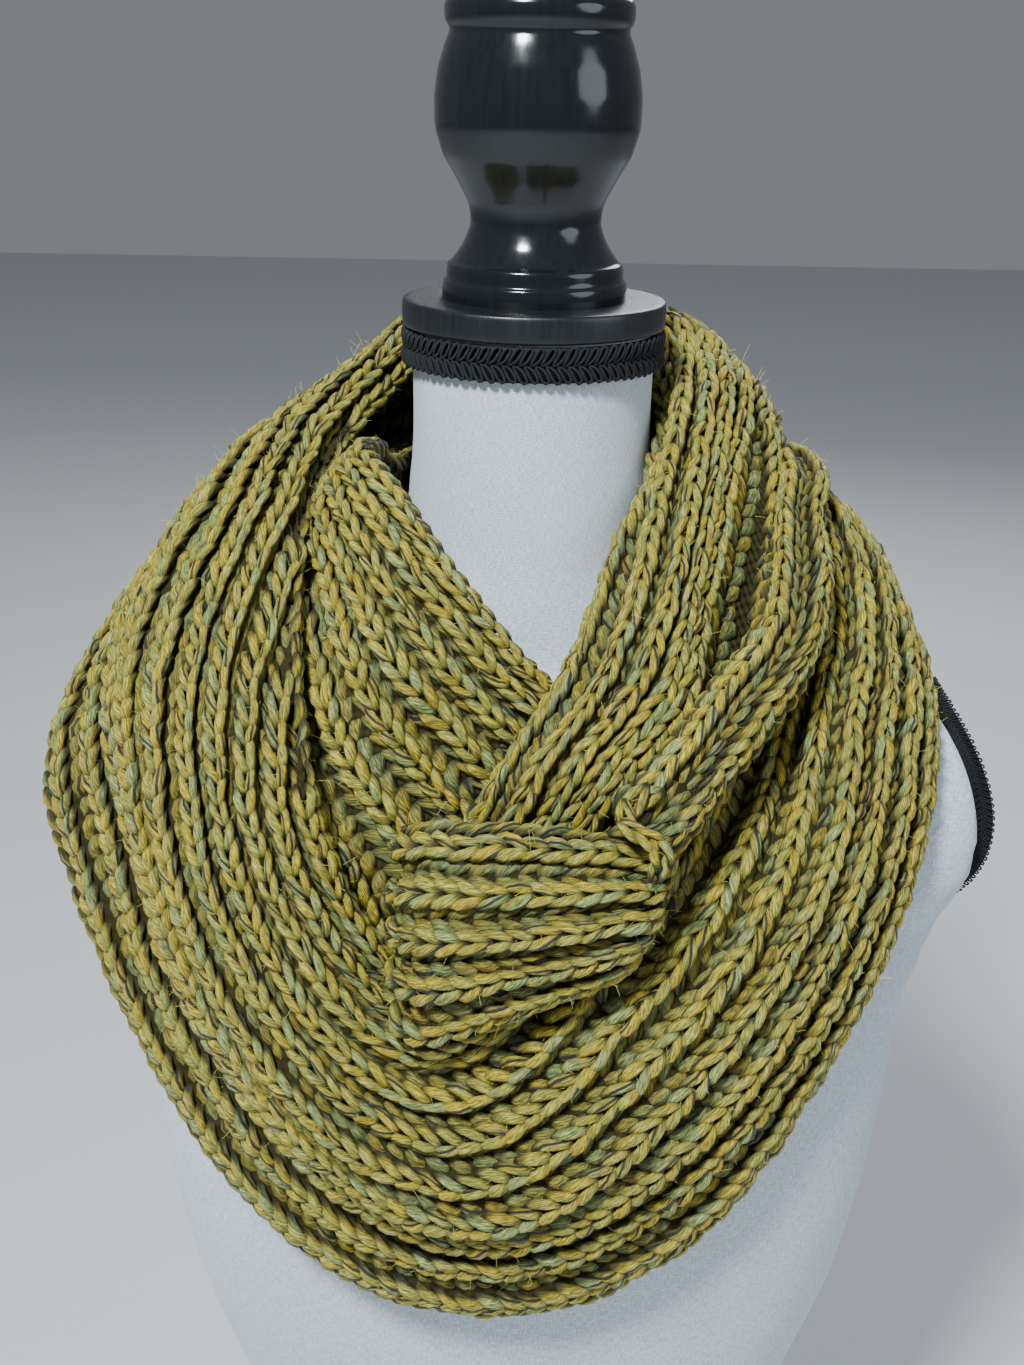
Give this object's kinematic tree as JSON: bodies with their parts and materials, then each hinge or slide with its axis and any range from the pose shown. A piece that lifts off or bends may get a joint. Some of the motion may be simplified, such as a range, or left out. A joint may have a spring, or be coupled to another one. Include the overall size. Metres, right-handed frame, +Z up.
{
  "type": "infinity scarf on a dress form",
  "caption": "Chunky rib-knit infinity scarf worn doubled on a limbless linen dress form with a turned black neck cap and braid trim.",
  "frame": {"origin": "on the standing surface, under the centre line of the neck", "axes": "+Z up the neck, -Y out of the front of the chest, +X to the right as seen from the front"},
  "size_m": [0.3828, 0.2722, 0.8135],
  "materials": {
    "yarn": "marled mustard, sage and charcoal knit",
    "linen": "plain off-white weave",
    "black_wood": "black gloss lacquer",
    "black_braid": "looped black cord"
  },
  "bodies": {
    "root": {"torso": "linen", "neckBraid": "black_braid", "armBraidLeft": "black_braid", "armBraidRight": "black_braid", "neckCap": "black_wood", "frontLeft": "yarn", "backUnder": "yarn", "frontDrape": "yarn", "backOver": "yarn", "frontRight": "yarn", "frontStrand": "yarn", "frontFold": "yarn"}
  },
  "joints": []
}
